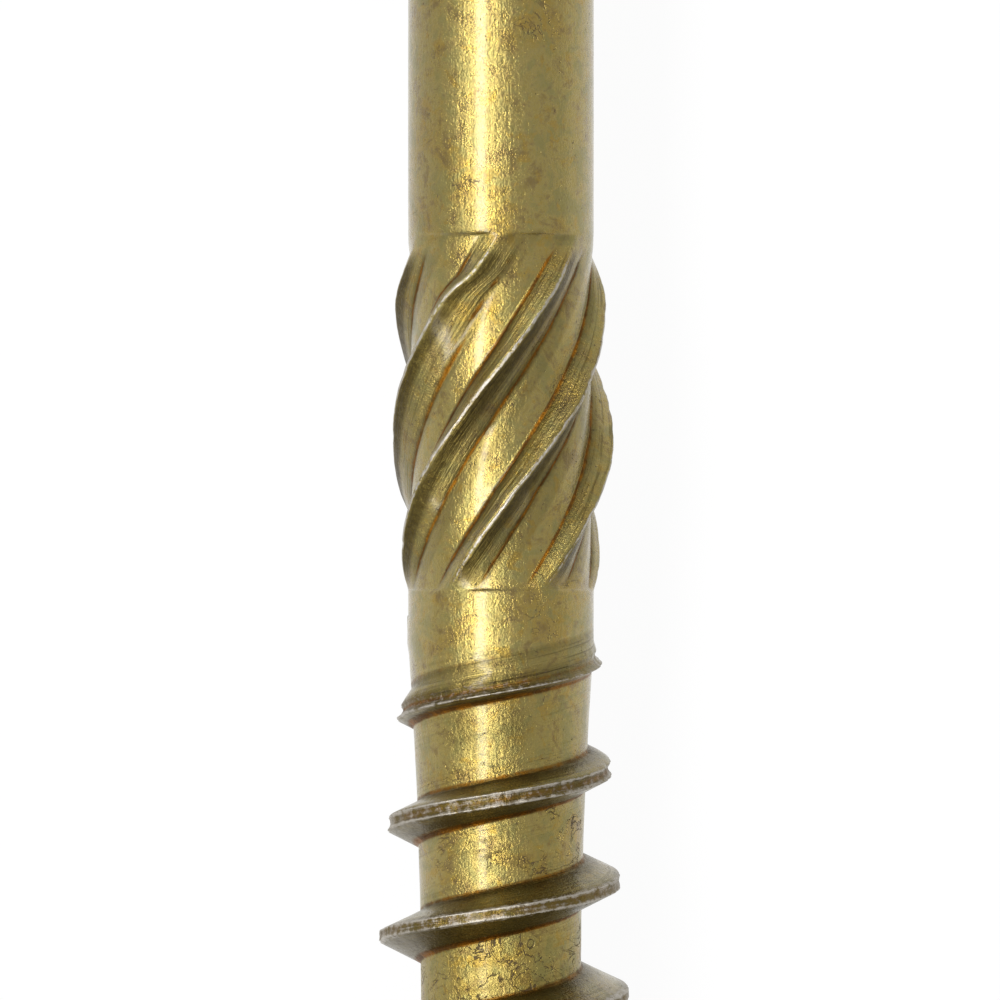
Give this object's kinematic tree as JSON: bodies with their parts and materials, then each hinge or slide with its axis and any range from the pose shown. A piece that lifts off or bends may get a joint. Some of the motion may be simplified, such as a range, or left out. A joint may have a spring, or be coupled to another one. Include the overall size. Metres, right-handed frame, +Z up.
{
  "type": "construction screw",
  "caption": "Long countersunk timber screw with a six-lobed socket, plain shank, ribbed reamer, coarse partial thread and sharp point, in yellow zinc-plated steel, lying on its side.",
  "frame": {"origin": "on the floor, under the middle of the lying screw's bounding box", "axes": "+X from the head towards the point, along the screw's length; +Z up from the floor it lies on; +Y across it"},
  "size_m": [0.1202, 0.015, 0.015],
  "materials": {
    "plated_steel": "yellow passivated zinc plating, satin with worn crests"
  },
  "bodies": {
    "root": {"construction_screw": "plated_steel"}
  },
  "joints": []
}
